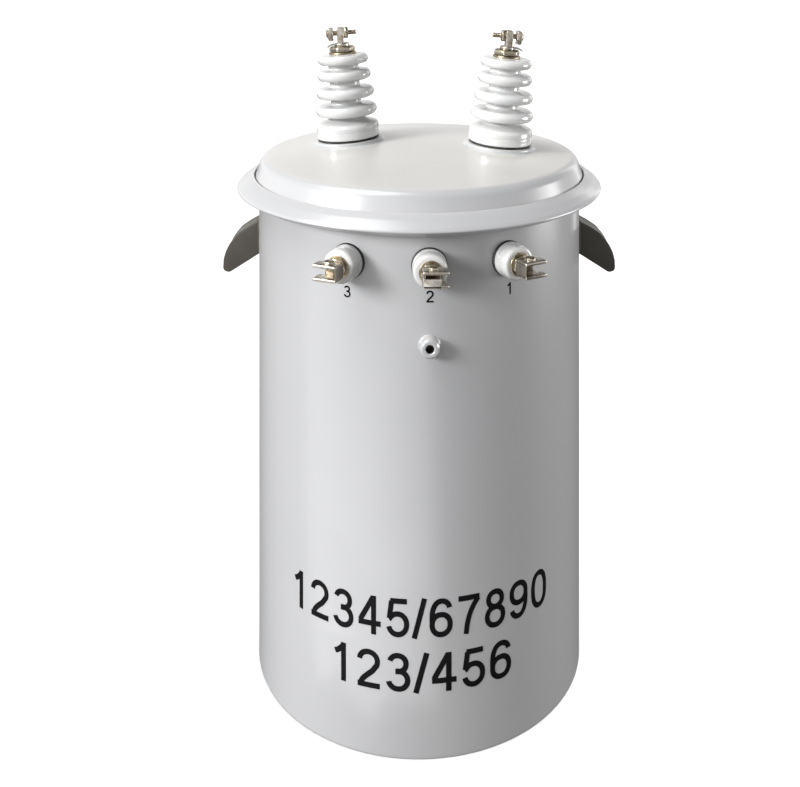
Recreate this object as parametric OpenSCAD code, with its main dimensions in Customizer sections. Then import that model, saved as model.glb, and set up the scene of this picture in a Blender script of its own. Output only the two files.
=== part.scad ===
// Pole mounted distribution transformer: a round steel tank with a domed
// cover held by a split clamp ring, two high voltage bushings on the cover,
// three low voltage bushings on the front of the tank, a threaded grounding
// boss, two hooked lifting lugs and two hanger brackets on the back.
// Millimetres, +Z up, low voltage side towards -Y, origin on the axis of the
// tank at the level of its bottom edge.

/* [Tank] */
// Outside radius of the tank wall
tank_r = 225; // [210:1:240]
// Thickness of the tank wall
wall_t = 3; // [2:0.5:5]
// Height of the upper face of the tank's flange
flange_z = 646; // [600:1:700]
// Thickness of the flange ring
flange_t = 3; // [3:0.5:8]
// Outside radius of the flange ring
flange_r = 243; // [235:1:255]
// Depth that the bottom plate is set up into the tank
bottom_recess = 16; // [8:1:30]
// Thickness of the bottom plate
bottom_t = 4; // [3:0.5:6]

/* [Cover] */
// Height of the middle of the domed cover
crown_z = 705; // [680:1:740]
// Radius of curvature of the dome
crown_r = 1400; // [1000:10:3000]
// Radius at which the dome turns into its shoulder
shoulder_from = 212; // [200:1:216]
// Radius of the rounded shoulder
shoulder_r = 16; // [10:1:24]
// Slope of the cover's side wall below the shoulder
cover_wall_deg = 70.7; // [60:0.1:85]
// Thickness of the cover sheet
cover_t = 3; // [2:0.5:5]
// Outside radius of the cover's brim
brim_r = 244; // [236:1:256]
// Thickness of the gasket under the brim
cover_gasket_t = 5; // [3:0.5:8]
// Turn of the line of high voltage bushings about the tank axis
cover_turn = -11; // [-45:0.5:45]

/* [Clamp ring] */
// Sheet thickness of the clamp ring
ring_t = 2.5; // [2:0.1:4]
// Slope of the ring's upper leg
ring_top_deg = 34; // [30:1:50]
// Slope of the ring's lower leg
ring_low_deg = 25; // [20:1:50]
// Radius of the upper leg's free edge
ring_top_r = 231; // [231:0.5:240]
// Radius of the lower leg's free edge
ring_low_r = 236; // [232:0.5:240]
// Radius of the flattened nose of the ring
ring_nose_r = 255; // [253:0.1:256]
// Direction of the ring's split, from the front round to the right
ring_split_az = 140; // [110:1:250]
// Width of the gap at the split
ring_gap = 10; // [4:1:20]

/* [High voltage bushings] */
// Distance of each bushing from the tank axis, along the cover
hv_r = 108; // [90:1:130]
// Shift of the pair of bushings to the right along their line
hv_shift = 6; // [-10:0.5:10]
// Radius of the raised seat on the cover
hv_seat_r = 48; // [44:0.5:54]
// Height of the raised seat
hv_seat_h = 4; // [2:0.5:8]
// Thickness of the seat gasket
hv_gasket_t = 3; // [2:0.5:5]
// Radius of the porcelain's foot
hv_foot_r = 44.5; // [40:0.5:50]
// Height of the porcelain above its gasket
hv_h = 118; // [100:0.5:140]

/* [Low voltage bushings] */
// Height of the low voltage bushings
lv_z = 599; // [560:1:620]
// Angle between neighbouring low voltage bushings
lv_step = 26; // [22:0.5:35]
// Radius of the low voltage porcelain
lv_por_r = 21.5; // [18:0.5:28]
// Distance from the tank wall to the porcelain's face
lv_por_l = 27; // [26:0.5:45]
// Height of the washer and nut between the porcelain and its clamp
lv_stack = 7; // [6:0.5:10]

/* [Fittings] */
// Height of the grounding boss
boss_z = 502; // [460:1:540]
// Radius of the grounding boss
boss_r = 12; // [10:0.5:16]
// Length of the grounding boss from the tank wall
boss_l = 14; // [10:0.5:20]
// Radius of the boss's threaded hole
boss_hole_r = 5.1; // [4:0.1:7]
// Width of each lifting lug
lug_w = 44; // [36:1:60]
// Plate thickness of each lifting lug
lug_t = 5; // [4:0.5:8]
// Turn of the two lifting lugs about the tank's axis
lug_turn = -3.2; // [-10:0.1:10]
// Vertical distance between the two hanger bolt slots
hanger_pitch = 285.75; // [250:0.25:600]
// Height of the upper hanger bolt slot
hanger_z = 507; // [480:1:540]
// Distance from the tank axis to the hangers' mounting face
hanger_y = 281; // [270:1:300]
// Half width of a hanger bracket
hanger_w = 62; // [50:1:80]
// Height of a hanger bracket
hanger_h = 84; // [70:1:110]
// Plate thickness of a hanger bracket
hanger_t = 6; // [5:0.5:8]
// Half width of the hanger bolt slot
slot_r = 8.75; // [8:0.25:11]
// Overall length of the hanger bolt slot
slot_l = 46; // [30:1:60]

/* [Hidden] */
$fn = 96;

paint = [0.80, 0.81, 0.80];
dark_paint = [0.28, 0.26, 0.24];
porcelain = [0.90, 0.90, 0.89];
bronze = [0.66, 0.57, 0.42];
rubber = [0.07, 0.07, 0.07];
zinc = [0.62, 0.63, 0.64];
core_iron = [0.36, 0.34, 0.32];

tank_in = tank_r - wall_t;
shell_top = flange_z - flange_t;
brim_low = flange_z + cover_gasket_t;
brim_top = brim_low + cover_t;

// Middle of the dome's sphere, and of the arc of the shoulder
dome_c = crown_z - crown_r;
turn_in = asin(shoulder_from / crown_r);
sh_c = [shoulder_from - shoulder_r * sin(turn_in),
    dome_c + sqrt(pow(crown_r, 2) - pow(shoulder_from, 2)) - shoulder_r * cos(turn_in)];
// Upper end of the side wall, and the arc that turns it out into the brim
wall_dir = [cos(cover_wall_deg), -sin(cover_wall_deg)];
wall_out = [sin(cover_wall_deg), cos(cover_wall_deg)];
wall_hi = sh_c + shoulder_r * wall_out;
foot_r = 5;
wall_len = (wall_hi[1] - (brim_top + foot_r - foot_r * wall_out[1])) / sin(cover_wall_deg);
foot_c = wall_hi + wall_len * wall_dir + foot_r * wall_out;

// Cover profile from the axis to the brim, moved in from the outer face by d
function cover_line(d) = concat(
    [for (i = [0 : 10]) let (a = turn_in * i / 10)
        [(crown_r - d) * sin(a), dome_c + (crown_r - d) * cos(a)]],
    [for (i = [1 : 7]) let (a = turn_in + (cover_wall_deg - turn_in) * i / 7)
        sh_c + (shoulder_r - d) * [sin(a), cos(a)]],
    [for (i = [0 : 5]) let (a = cover_wall_deg * (1 - i / 5))
        foot_c - (foot_r + d) * [sin(a), cos(a)]]);

// Clamp ring: each leg's inner face passes over the edge that it clamps
function ring_top(r, d) = brim_top - (r - brim_r) * tan(ring_top_deg) + d / cos(ring_top_deg);
function ring_low(r, d) = shell_top + (r - flange_r) * tan(ring_low_deg) - d / cos(ring_low_deg);
ring_apex_r = (brim_top + brim_r * tan(ring_top_deg) - shell_top + flange_r * tan(ring_low_deg))
    / (tan(ring_top_deg) + tan(ring_low_deg));
ring_outer = [[ring_top_r, ring_top(ring_top_r, ring_t)],
    [ring_nose_r, ring_top(ring_nose_r, ring_t)],
    [ring_nose_r, ring_low(ring_nose_r, ring_t)],
    [ring_low_r, ring_low(ring_low_r, ring_t)]];
ring_nose_z = (ring_top(ring_nose_r, ring_t) + ring_low(ring_nose_r, ring_t)) / 2;
ring_half = asin(ring_gap / 2 / ring_nose_r);

// Side outline of a lifting lug, outwards from the wall, and of its hollow
lug_line = [[-12, 600], [0, 595.5], [16, 587], [30, 577.5], [40, 565], [46.5, 552.5],
    [49.7, 541], [49.5, 533], [46.5, 527.5], [41, 526], [35, 528], [0, 549.5], [-12, 556.5]];
lug_hollow = [[-12, 594.5], [0, 589.8], [13.5, 582.6], [26.8, 573.5], [36, 562], [41.8, 550.5],
    [44.8, 540], [44.6, 533], [42, 520], [36, 515], [-12, 530]];

// ------------------------------------------------------------ shared shapes

module hexagon(af, h) {
    cylinder(r = af / sqrt(3), h = h, $fn = 6);
}

// Frame of a high voltage bushing: origin on the cover, z along its axis
module hv_at(side) {
    rotate([0, 0, cover_turn]) translate([0, 0, dome_c])
        rotate([0, asin((side * hv_r + hv_shift) / crown_r), 0]) translate([0, 0, crown_r])
            children();
}

// Frame of a high voltage terminal: origin on top of the porcelain, x outwards
module hv_top(side) {
    hv_at(side) translate([0, 0, hv_seat_h + hv_gasket_t + hv_h])
        rotate([0, 0, -cover_turn + (side < 0 ? 180 : 0)]) children();
}

// Frame of a low voltage bushing: origin on the wall, z outwards, y up
module lv_at(i) {
    rotate([0, 0, i * lv_step]) translate([0, -tank_r, lv_z]) rotate([90, 0, 0])
        children();
}

module tank_space(d = 0) {
    translate([0, 0, -20]) cylinder(r = tank_r + d, h = 760, $fn = 180);
}

// ------------------------------------------------------------------- pieces

module tank_shell() {
    color(paint) difference() {
        cylinder(r = tank_r, h = shell_top, $fn = 180);
        translate([0, 0, -1]) cylinder(r = tank_in, h = shell_top + 2, $fn = 180);
        for (i = [-1 : 1]) lv_at(i) translate([0, 0, -20]) cylinder(r = 17, h = 40);
    }
}

module tank_bottom() {
    color(paint) translate([0, 0, bottom_recess]) cylinder(r = tank_in, h = bottom_t, $fn = 180);
}

// Sealed in the tank: laminated core with its round coil, on the bottom plate
module core_and_coils() {
    base = bottom_recess + bottom_t;
    color(core_iron) union() {
        translate([-140, -55, base]) cube([280, 110, 330]);
        translate([0, 0, base + 55]) cylinder(r = 105, h = 220);
    }
}

module tank_flange() {
    color(paint) translate([0, 0, shell_top]) difference() {
        cylinder(r = flange_r, h = flange_t, $fn = 180);
        translate([0, 0, -1]) cylinder(r = tank_in, h = flange_t + 2, $fn = 180);
    }
}

module cover_gasket() {
    color(rubber) translate([0, 0, flange_z]) difference() {
        cylinder(r = flange_r - 1, h = cover_gasket_t, $fn = 180);
        translate([0, 0, -1]) cylinder(r = tank_r + 3, h = cover_gasket_t + 2, $fn = 180);
    }
}

module cover() {
    line_out = cover_line(0);
    line_in = cover_line(cover_t);
    last = len(line_in) - 1;
    color(paint) difference() {
        union() {
            rotate_extrude($fn = 180) polygon(concat(line_out,
                [[brim_r, brim_top], [brim_r, brim_low]],
                [for (i = [0 : last]) line_in[last - i]]));
            for (side = [-1, 1]) hv_at(side) translate([0, 0, -2.5])
                cylinder(r = hv_seat_r, h = hv_seat_h + 2.5);
        }
        for (side = [-1, 1]) hv_at(side) translate([0, 0, -20]) cylinder(r = 20, h = 40);
    }
}

module clamp_ring() {
    color(paint) rotate([0, 0, ring_split_az - 90 + ring_half])
        rotate_extrude(angle = 360 - 2 * ring_half, $fn = 180) polygon(concat(ring_outer,
            [[ring_low_r, ring_low(ring_low_r, 0)],
             [ring_apex_r, ring_top(ring_apex_r, 0)],
             [ring_top_r, ring_top(ring_top_r, 0)]]));
}

// One of the two plates that the ring's bolt draws together
module clamp_ring_lug(side) {
    color(paint) difference() {
        rotate([0, 0, ring_split_az]) difference() {
            translate([side > 0 ? ring_gap / 2 : -ring_gap / 2 - 7, -276, ring_nose_z - 14])
                cube([7, 32, 28]);
            translate([0, -267, ring_nose_z]) rotate([0, 90, 0])
                cylinder(r = 5.5, h = 80, center = true);
        }
        rotate_extrude($fn = 180) polygon(concat([[200, ring_outer[0][1]]], ring_outer,
            [[200, ring_outer[3][1]]]));
        // beyond the legs the plate stops at the slopes of the ring
        translate([0, 0, ring_outer[0][1] - 0.01]) cylinder(r = 252, h = 40, $fn = 180);
        translate([0, 0, ring_outer[3][1] - 39.99]) cylinder(r = 252, h = 40, $fn = 180);
    }
}

module clamp_ring_bolt() {
    color(zinc) rotate([0, 0, ring_split_az]) translate([0, -267, ring_nose_z])
        rotate([0, 90, 0]) {
            translate([0, 0, -27]) cylinder(r = 5, h = 52);
            translate([0, 0, ring_gap / 2 + 7]) hexagon(16, 7);
            translate([0, 0, -ring_gap / 2 - 7 - 8]) hexagon(16, 8);
        }
}

// Formed channel with a sloping back and a hooked end
module lifting_lug(side) {
    color(dark_paint) difference() {
        rotate([0, 0, lug_turn]) translate([side * tank_r, 0, 0]) mirror([side < 0 ? 1 : 0, 0, 0]) rotate([90, 0, 0])
            difference() {
                translate([0, 0, -lug_w / 2]) linear_extrude(lug_w) polygon(lug_line);
                translate([0, 0, -lug_w / 2 + lug_t]) linear_extrude(lug_w - 2 * lug_t)
                    polygon(lug_hollow);
            }
        tank_space();
    }
}

// Bent plate with a vertical bolt slot, welded to the back of the tank
module hanger_bracket(z) {
    bend = 14;
    color(paint) difference() {
        translate([0, 0, z - hanger_h / 2]) linear_extrude(hanger_h) difference() {
            hat(hanger_w, hanger_y, bend);
            hat(hanger_w - hanger_t, hanger_y - hanger_t, bend - hanger_t);
        }
        tank_space();
        translate([0, hanger_y, z]) rotate([90, 0, 0]) {
            for (s = [-1, 1]) translate([0, s * (slot_l / 2 - slot_r), 0])
                cylinder(r = slot_r, h = 40, center = true);
            cube([2 * slot_r, slot_l - 2 * slot_r, 40], center = true);
        }
    }
}

module hat(w, y, r) {
    translate([-w, 180]) square([2 * w, y - 180 - r]);
    translate([-w + r, 180]) square([2 * (w - r), y - 180]);
    for (s = [-1, 1]) translate([s * (w - r), y - r]) circle(r = r);
}

module ground_boss() {
    color(paint) difference() {
        translate([0, -tank_r, boss_z]) rotate([90, 0, 0]) difference() {
            union() {
                translate([0, 0, -2]) cylinder(r = boss_r, h = boss_l + 2 - 3);
                translate([0, 0, boss_l - 3]) cylinder(r1 = boss_r, r2 = boss_r - 2.5, h = 3);
            }
            translate([0, 0, 1]) cylinder(r = boss_hole_r, h = boss_l + 1);
        }
        tank_space();
    }
}

module hv_gasket(side) {
    color(rubber) hv_at(side) translate([0, 0, hv_seat_h]) difference() {
        cylinder(r = hv_foot_r - 1, h = hv_gasket_t);
        translate([0, 0, -1]) cylinder(r = 20, h = hv_gasket_t + 2);
    }
}

// Porcelain: a stout foot, then four round-edged sheds on a tapering trunk
module hv_bushing(side) {
    shed_z = [38, 63, 88, 110.5];
    shed_r = [43.5, 41.5, 38.5, 36];
    shed_t = [14.5, 14, 13.5, 13];
    color(porcelain) hv_at(side) translate([0, 0, hv_seat_h + hv_gasket_t]) difference() {
        rotate_extrude($fn = 120) {
            translate([0, -22]) square([19.5, 23]);
            polygon([[0, 0], [hv_foot_r - 2, 0], [hv_foot_r, 2], [hv_foot_r, 14],
                [hv_foot_r - 1.5, 17], [hv_foot_r - 5, 19], [26, 23.5], [23.5, 26],
                [19, 112], [17, hv_h - 0.5], [15, hv_h], [0, hv_h]]);
            for (i = [0 : 3]) {
                translate([shed_r[i] - shed_t[i] / 2, shed_z[i]]) circle(r = shed_t[i] / 2, $fn = 48);
                polygon([[0, shed_z[i] - shed_t[i] / 2], [shed_r[i] - shed_t[i] / 2, shed_z[i] - shed_t[i] / 2],
                    [shed_r[i] - shed_t[i] / 2, shed_z[i] + shed_t[i] / 2], [0, shed_z[i] + shed_t[i] / 2]]);
            }
        }
        translate([0, 0, hv_h - 40]) cylinder(r = 6.8, h = 41);
    }
}

module hv_stud_nut(side) {
    color(bronze) hv_top(side) {
        translate([0, 0, -39]) cylinder(r = 6.5, h = 54);
        cylinder(r = 19.5, h = 3);
        translate([0, 0, 3]) hexagon(32, 8);
    }
}

// Upright with a round foot screwed down on the stud, and a thin toe
module hv_clamp(side) {
    color(bronze) hv_top(side) difference() {
        union() {
            translate([0, 0, 11]) cylinder(r = 10.5, h = 6);
            translate([-3.5, -8.5, 11]) cube([9.5, 17, 27]);
            translate([5, -8.5, 13]) cube([16, 17, 2]);
        }
        translate([0, 0, 10]) cylinder(r = 6.6, h = 5.5);
        translate([-20, 0, 30]) rotate([0, 90, 0]) cylinder(r = 3.7, h = 40);
    }
}

// Loose jaw on the clamp bolt, outside the conductor
module hv_clamp_jaw(side) {
    color(bronze) hv_top(side) difference() {
        translate([11.5, -8.5, 19.5]) cube([7.5, 17, 18.5]);
        translate([-20, 0, 30]) rotate([0, 90, 0]) cylinder(r = 3.7, h = 60);
    }
}

module hv_clamp_bolt(side) {
    color(bronze) hv_top(side) translate([0, 0, 30]) rotate([0, 90, 0]) {
        translate([0, 0, -22]) cylinder(r = 3.5, h = 42);
        translate([0, 0, -10]) hexagon(14, 6.5);
        translate([0, 0, 19]) cylinder(r = 6, h = 2.5);
    }
}

module lv_gasket(i) {
    color(rubber) difference() {
        lv_at(i) difference() {
            translate([0, 0, -3]) cylinder(r = lv_por_r + 0.6, h = 6);
            translate([0, 0, -4]) cylinder(r = 17, h = 8);
        }
        tank_space();
    }
}

// Porcelain: shank through the wall, collar, groove and rounded nose
module lv_bushing(i) {
    color(porcelain) lv_at(i) difference() {
        rotate_extrude($fn = 96) {
            translate([0, -14]) square([16.5, 20]);
            translate([0, 3]) square([lv_por_r, 7]);
            translate([0, 9]) square([lv_por_r - 2, 6]);
            translate([0, 13]) square([lv_por_r, lv_por_l - 13 - 5]);
            translate([0, 20]) square([lv_por_r - 5, lv_por_l - 20]);
            translate([lv_por_r - 5, lv_por_l - 5]) circle(r = 5, $fn = 48);
        }
        translate([0, 0, -20]) cylinder(r = 8.3, h = 80);
    }
}

module lv_stud_nut(i) {
    color(bronze) lv_at(i) translate([0, 0, lv_por_l]) {
        translate([0, 0, -42]) cylinder(r = 8, h = 42 + lv_stack + 4.5);
        cylinder(r = 14.5, h = 2);
        translate([0, 0, 2]) hexagon(22, lv_stack - 2);
    }
}

// Cast clamp: back wall on the stud, a web on one side, two jaws, a lip on the middle one
module lv_clamp(i) {
    s = i < 0 ? -1 : 1;
    color(bronze) lv_at(i) translate([0, 0, lv_por_l + lv_stack]) mirror([s < 0 ? 1 : 0, 0, 0])
        difference() {
            union() {
                translate([-11, -10, 0]) cube([22, 20, 6]);
                translate([-11, -10, 5]) cube([3, 20, 17]);
                translate([-11, 6, 5]) cube([31, 4, 17]);
                translate([-11, -10, 5]) cube([31, 4, 17]);
                if (i == 0) translate([-11, -10, 19.5]) cube([21.5, 12, 2.5]);
            }
            translate([0, 0, -1]) cylinder(r = 8.1, h = 6);
            translate([2, 0, 12]) rotate([-90, 0, 0]) cylinder(r = 4.1, h = 20);
        }
}

// Hexagon screw in the upper jaw, drawn back flush
module lv_clamp_screw(i) {
    s = i < 0 ? -1 : 1;
    color(bronze) lv_at(i) translate([s * 2, 0, lv_por_l + lv_stack + 12]) rotate([-90, 0, 0]) {
        translate([0, 0, 6.2]) cylinder(r = 4, h = 5);
        translate([0, 0, 10]) hexagon(12, 4);
    }
}

tank_shell();
tank_bottom();
core_and_coils();
tank_flange();
cover_gasket();
cover();
clamp_ring();
clamp_ring_lug(-1);  // clamp_ring_lug_left
clamp_ring_lug(1);  // clamp_ring_lug_right
clamp_ring_bolt();
lifting_lug(-1);  // lifting_lug_left
lifting_lug(1);  // lifting_lug_right
hanger_bracket(hanger_z);  // hanger_bracket_upper
hanger_bracket(hanger_z - hanger_pitch);  // hanger_bracket_lower
ground_boss();
hv_gasket(-1);  // hv_gasket_left
hv_gasket(1);  // hv_gasket_right
hv_bushing(-1);  // hv_bushing_left
hv_bushing(1);  // hv_bushing_right
hv_stud_nut(-1);  // hv_stud_nut_left
hv_stud_nut(1);  // hv_stud_nut_right
hv_clamp(-1);  // hv_clamp_left
hv_clamp(1);  // hv_clamp_right
hv_clamp_jaw(-1);  // hv_clamp_jaw_left
hv_clamp_jaw(1);  // hv_clamp_jaw_right
hv_clamp_bolt(-1);  // hv_clamp_bolt_left
hv_clamp_bolt(1);  // hv_clamp_bolt_right
lv_gasket(-1);  // lv_gasket_left
lv_gasket(0);  // lv_gasket_middle
lv_gasket(1);  // lv_gasket_right
lv_bushing(-1);  // lv_bushing_left
lv_bushing(0);  // lv_bushing_middle
lv_bushing(1);  // lv_bushing_right
lv_stud_nut(-1);  // lv_stud_nut_left
lv_stud_nut(0);  // lv_stud_nut_middle
lv_stud_nut(1);  // lv_stud_nut_right
lv_clamp(-1);  // lv_clamp_left
lv_clamp(0);  // lv_clamp_middle
lv_clamp(1);  // lv_clamp_right
lv_clamp_screw(-1);  // lv_clamp_screw_left
lv_clamp_screw(0);  // lv_clamp_screw_middle
lv_clamp_screw(1);  // lv_clamp_screw_right
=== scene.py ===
import math

import bmesh
import bpy
import numpy as np
from mathutils import Matrix, Vector


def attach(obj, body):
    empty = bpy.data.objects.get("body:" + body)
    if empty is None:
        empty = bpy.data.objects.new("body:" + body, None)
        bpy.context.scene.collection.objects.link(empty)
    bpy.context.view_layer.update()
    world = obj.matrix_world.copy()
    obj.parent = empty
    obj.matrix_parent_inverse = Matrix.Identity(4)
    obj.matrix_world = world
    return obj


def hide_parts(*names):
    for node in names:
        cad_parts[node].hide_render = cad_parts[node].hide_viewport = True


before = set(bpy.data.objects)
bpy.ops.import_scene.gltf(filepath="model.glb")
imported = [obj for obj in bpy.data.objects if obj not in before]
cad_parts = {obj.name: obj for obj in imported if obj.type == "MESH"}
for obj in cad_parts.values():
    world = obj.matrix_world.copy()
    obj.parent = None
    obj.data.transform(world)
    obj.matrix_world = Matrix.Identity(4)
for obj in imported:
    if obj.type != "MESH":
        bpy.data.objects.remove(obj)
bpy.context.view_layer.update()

# Everything below is measured in millimetres, as in the CAD, and scaled to
# metres when a mesh is made. Low voltage side towards -Y, +Z up.
MM = 0.001

# ------------------------------------------------------------------ the camera
# The photograph is a level view with upright lines kept parallel, taken from
# above the middle of the object, so its picture plane is vertical and the
# object sits below the level line. An empty with a skewed frame holds the
# camera and gives that projection: the camera's own shift stays at zero.
az = math.radians(-3.161)
dist, height, focal = 1.520482, 1.017404, 1068.604
below, aside = 393.5 + 79.601, 19.134
right = Vector((math.cos(az), math.sin(az), 0))
up = Vector((0, 0, 1))
back = Vector((math.sin(az), -math.cos(az), 0))
ray = back + (below / focal) * up + (aside / focal) * right
skew = Matrix((right, up, ray / ray.length)).transposed()
U, S, Vt = np.linalg.svd(np.array(skew))
if np.linalg.det(U) < 0:
    U[:, 2] *= -1
    Vt[2, :] *= -1
rig = bpy.data.objects.new("camera_rig", None)
bpy.context.scene.collection.objects.link(rig)
rig.matrix_world = (Matrix.Translation(dist * back + height * up) @ Matrix(U.tolist()).to_4x4()
                    @ Matrix.Diagonal((*S.tolist(), 1)))
cam_data = bpy.data.cameras.new("camera")
cam = bpy.data.objects.new("camera", cam_data)
bpy.context.scene.collection.objects.link(cam)
cam.parent = rig
cam.matrix_parent_inverse = Matrix.Identity(4)
cam.matrix_basis = Matrix(Vt.tolist()).to_4x4()
cam_data.sensor_width = 36
cam_data.lens = 36 * focal * ray.length / 800
bpy.context.scene.camera = cam

# ------------------------------------------------------------- shape tools (mm)


def turn(deg, axis):
    return Matrix.Rotation(math.radians(deg), 4, axis)


def move(x, y, z):
    return Matrix.Translation((x, y, z))


def rounded(points, n=6, closed=False):
    """A line through (x, y, radius) corners, each rounded to its radius."""
    out = []
    count = len(points)
    for i, p in enumerate(points):
        r = p[2] if len(p) > 2 else 0
        here = Vector(p[:2])
        if r <= 0 or (not closed and i in (0, count - 1)):
            out.append((here.x, here.y))
            continue
        a = Vector(points[i - 1][:2]) - here
        b = Vector(points[(i + 1) % count][:2]) - here
        la, lb = a.length, b.length
        a.normalize()
        b.normalize()
        half = math.acos(max(-1, min(1, a.dot(b)))) / 2
        if half > math.radians(89.5) or half < 1e-3:
            out.append((here.x, here.y))
            continue
        t = min(r / math.tan(half), 0.495 * la, 0.495 * lb)
        r = t * math.tan(half)
        mid = here + (a + b).normalized() * (r / math.sin(half))
        s, e = here + a * t - mid, here + b * t - mid
        a0 = math.atan2(s.y, s.x)
        sweep = (math.atan2(e.y, e.x) - a0 + math.pi) % (2 * math.pi) - math.pi
        for k in range(n + 1):
            w = a0 + sweep * k / n
            out.append((mid.x + r * math.cos(w), mid.y + r * math.sin(w)))
    return out


def add(bm, verts, faces, m):
    made = [bm.verts.new(m @ Vector(v)) for v in verts]
    for f in faces:
        if len(set(f)) > 2:
            try:
                bm.faces.new([made[i] for i in f])
            except ValueError:
                pass
    return made


def add_lathe(bm, line, m=Matrix(), segs=96, start=0.0, end=360.0, closed=False, wave=None):
    """Turns a line of (radius, height) about the z axis of m."""
    full = abs(end - start - 360) < 1e-6
    steps = segs if full else segs + 1
    verts, faces, rows = [], [], []
    for r, z in line:
        if r < 1e-6:
            rows.append([len(verts)] * steps)
            verts.append((0, 0, z))
            continue
        row = []
        for k in range(steps):
            w = math.radians(start + (end - start) * k / segs)
            q = r + (wave(w, z) if wave else 0)
            row.append(len(verts))
            verts.append((q * math.cos(w), q * math.sin(w), z))
        rows.append(row)
    last = len(line) if closed else len(line) - 1
    for i in range(last):
        a, b = rows[i], rows[(i + 1) % len(line)]
        for k in range(segs):
            j = (k + 1) % steps
            f = []
            for v in (a[k], a[j], b[j], b[k]):
                if v not in f:
                    f.append(v)
            faces.append(f)
    if closed and not full:
        faces.append([row[0] for row in rows])
        faces.append([row[-1] for row in rows][::-1])
    add(bm, verts, faces, m)


def inset(line, d):
    """A closed line moved inwards by d, corner by corner."""
    area = sum(line[i - 1][0] * line[i][1] - line[i][0] * line[i - 1][1] for i in range(len(line)))
    s = 1 if area > 0 else -1
    out = []
    for i in range(len(line)):
        p0, p, p1 = Vector(line[i - 1]), Vector(line[i]), Vector(line[(i + 1) % len(line)])
        e0, e1 = (p - p0).normalized(), (p1 - p).normalized()
        n0, n1 = Vector((-e0.y, e0.x)) * s, Vector((-e1.y, e1.x)) * s
        n = n0 + n1
        n = n0 if n.length < 1e-6 else n / max(0.35, n.dot(n0))
        out.append(tuple(p + n * d))
    return out


def add_prism(bm, line, z0, z1, m=Matrix(), edge=0.8, n=3):
    """A closed outline in x and y, drawn out along z, with rounded ends."""
    rings = []
    for k in range(n + 1):
        w = math.pi / 2 * k / n
        rings.append((z0 + edge * (1 - math.sin(w)), edge * (1 - math.cos(w))))
    rings = rings[::-1] if rings[0][0] > rings[-1][0] else rings
    low = sorted(rings, key=lambda q: q[0])
    high = [(z0 + z1 - z, d) for z, d in low[::-1]]
    verts, faces, size = [], [], len(line)
    stack = low + high
    for z, d in stack:
        verts += [(x, y, z) for x, y in (inset(line, d) if d > 1e-9 else line)]
    for i in range(len(stack) - 1):
        for k in range(size):
            j = (k + 1) % size
            faces.append((i * size + k, i * size + j, (i + 1) * size + j, (i + 1) * size + k))
    faces.append(tuple(range(size))[::-1])
    faces.append(tuple(range((len(stack) - 1) * size, len(stack) * size)))
    add(bm, verts, faces, m)


def box_line(x0, x1, y0, y1, r=1.0, n=4):
    return rounded([(x0, y0, r), (x1, y0, r), (x1, y1, r), (x0, y1, r)], n, True)


def add_box(bm, x0, x1, y0, y1, z0, z1, m=Matrix(), r=1.0):
    add_prism(bm, box_line(x0, x1, y0, y1, r), z0, z1, m, edge=r)


def add_nut(bm, af, h, m=Matrix(), bore=0.0, both=True, slope=30, crown=0.0):
    """Hexagon nut or bolt head with turned corners; crown rounds its top."""
    segs = 96
    flat = af / 2
    rc = flat * 0.965
    t = math.tan(math.radians(slope))
    verts, faces, rows = [], [], []

    def row(fn):
        rows.append([])
        for k in range(segs):
            w = 2 * math.pi * k / segs
            r, z = fn(flat / math.cos((w % (math.pi / 3)) - math.pi / 6))
            rows[-1].append(len(verts))
            verts.append((r * math.cos(w), r * math.sin(w), z))

    row(lambda q: (max(bore, 0.05), 0))
    row(lambda q: (rc, 0))
    if both:
        row(lambda q: (q - 0.15, (q - 0.15 - rc) * t))
        row(lambda q: (q, (q - rc) * t + 0.12))
    else:
        row(lambda q: (q, 0.1))
    row(lambda q: (q, h - (q - rc) * t - 0.12))
    row(lambda q: (q - 0.15, h - (q - 0.15 - rc) * t))
    row(lambda q: (rc, h))
    if crown > 0:
        for k in range(1, 6):
            row(lambda q, k=k: (rc * math.cos(math.pi / 2 * k / 6), h + crown * math.sin(math.pi / 2 * k / 6)))
        row(lambda q: (0.05, h + crown))
    else:
        row(lambda q: (max(bore, 0.05), h))
    for i in range(len(rows) - 1):
        for k in range(segs):
            j = (k + 1) % segs
            faces.append((rows[i][k], rows[i][j], rows[i + 1][j], rows[i + 1][k]))
    add(bm, verts, faces, m)


def add_thread(bm, r, z0, z1, pitch, m=Matrix(), depth=None, segs=36):
    """A screw thread with a chamfered far end."""
    depth = depth or 0.6 * pitch
    verts, faces = [], []
    steps = max(6, int(abs(z1 - z0) / pitch * 8))
    for i in range(steps + 1):
        z = z0 + (z1 - z0) * i / steps
        for k in range(segs):
            w = 2 * math.pi * k / segs
            ph = (z / pitch - k / segs) % 1.0
            q = r - depth * (1 - abs(2 * ph - 1) ** 0.8)
            q = min(q, r - depth * 1.15 + abs(z1 - z) * 0.9)
            verts.append((q * math.cos(w), q * math.sin(w), z))
    for i in range(steps):
        for k in range(segs):
            j = (k + 1) % segs
            faces.append((i * segs + k, i * segs + j, (i + 1) * segs + j, (i + 1) * segs + k))
    faces.append(tuple(range(segs))[::-1])
    faces.append(tuple(range(steps * segs, (steps + 1) * segs)))
    add(bm, verts, faces, m)


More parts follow.
